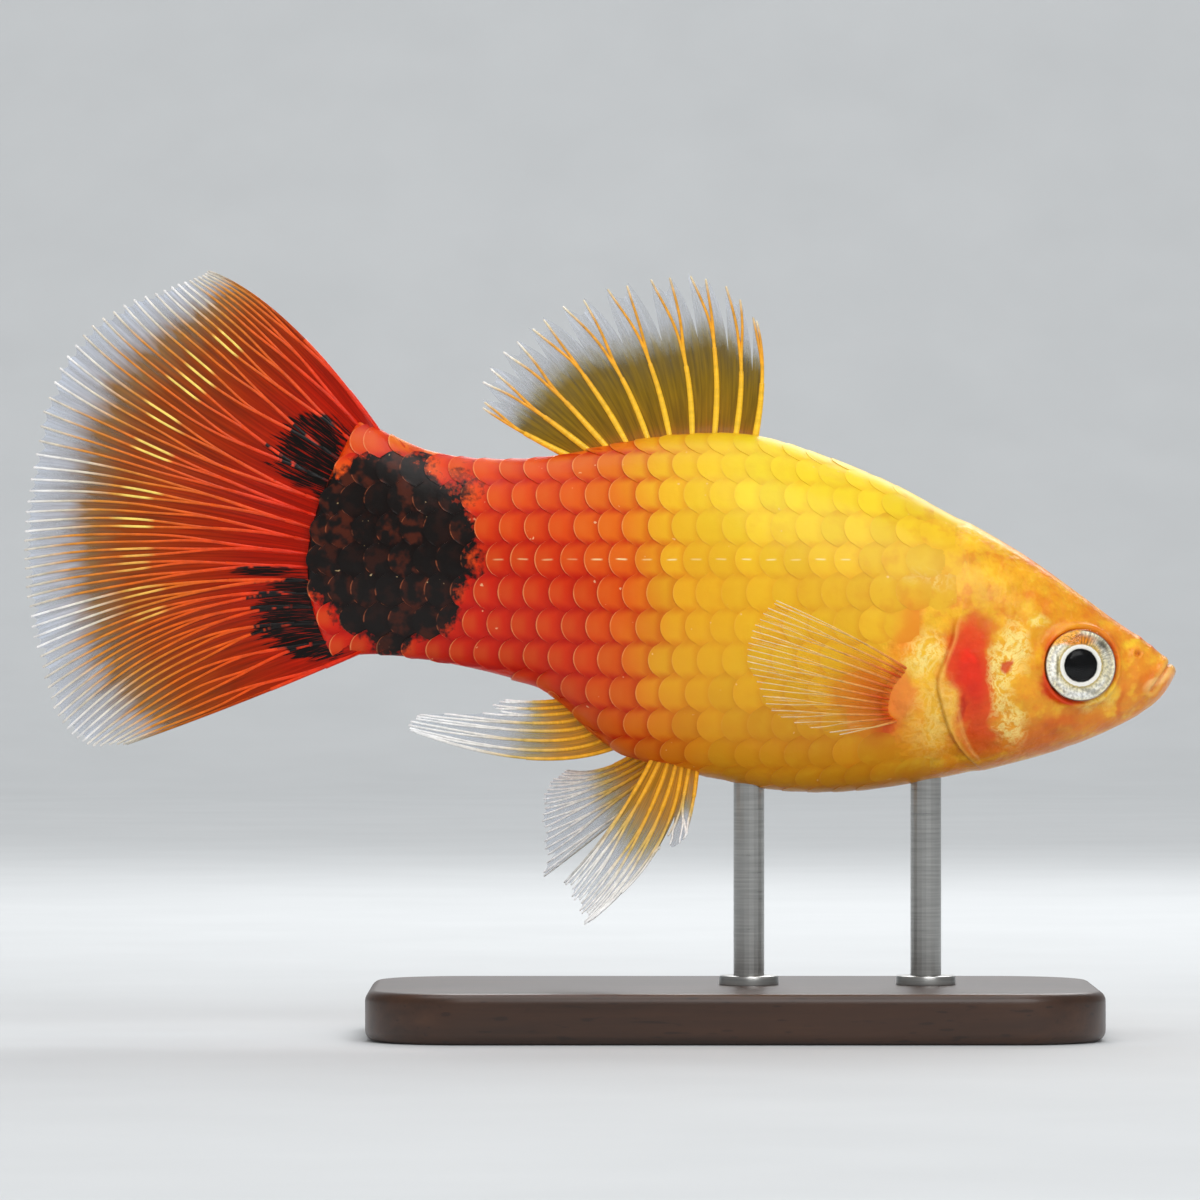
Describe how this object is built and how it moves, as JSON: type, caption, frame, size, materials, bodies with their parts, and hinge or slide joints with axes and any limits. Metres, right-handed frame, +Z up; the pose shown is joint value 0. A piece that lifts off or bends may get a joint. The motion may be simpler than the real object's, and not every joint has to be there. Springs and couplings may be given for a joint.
{
  "type": "platy",
  "caption": "Still life-size model of a platy, a small deep-bodied livebearing aquarium fish, held over a flat base on short rods.",
  "frame": {"origin": "middle of the model's box, at the level of the base's underside", "axes": "+X towards the snout, +Z up, the fish's left side faces +Y"},
  "size_m": [0.06, 0.022, 0.0398],
  "materials": {
    "body_skin": "wet scaled skin, yellow over the back to red at the tail, with a black spot",
    "eye": "silver iris and black pupil under a clear cornea",
    "red_fin": "thin rayed skin, red-orange with black spots at its root and a clear edge",
    "yellow_fin": "thin rayed skin, golden rays and a clear edge",
    "clear_fin": "thin rayed skin, nearly clear, orange at its root",
    "stand_wood": "dark stained beech, satin lacquer",
    "stand_steel": "ground steel rod"
  },
  "bodies": {
    "root": {"head": "body_skin", "lower_jaw": "body_skin", "gill_cover_left": "body_skin", "gill_cover_right": "body_skin", "trunk": "body_skin", "tail_stalk": "body_skin", "eye_left": "eye", "eye_right": "eye", "caudal_fin": "red_fin", "dorsal_fin": "yellow_fin", "anal_fin": "yellow_fin", "pelvic_fin_left": "yellow_fin", "pelvic_fin_right": "yellow_fin", "pectoral_fin_left": "clear_fin", "pectoral_fin_right": "clear_fin", "stand_base": "stand_wood", "stand_rod_front": "stand_steel", "stand_rod_rear": "stand_steel"}
  },
  "joints": []
}
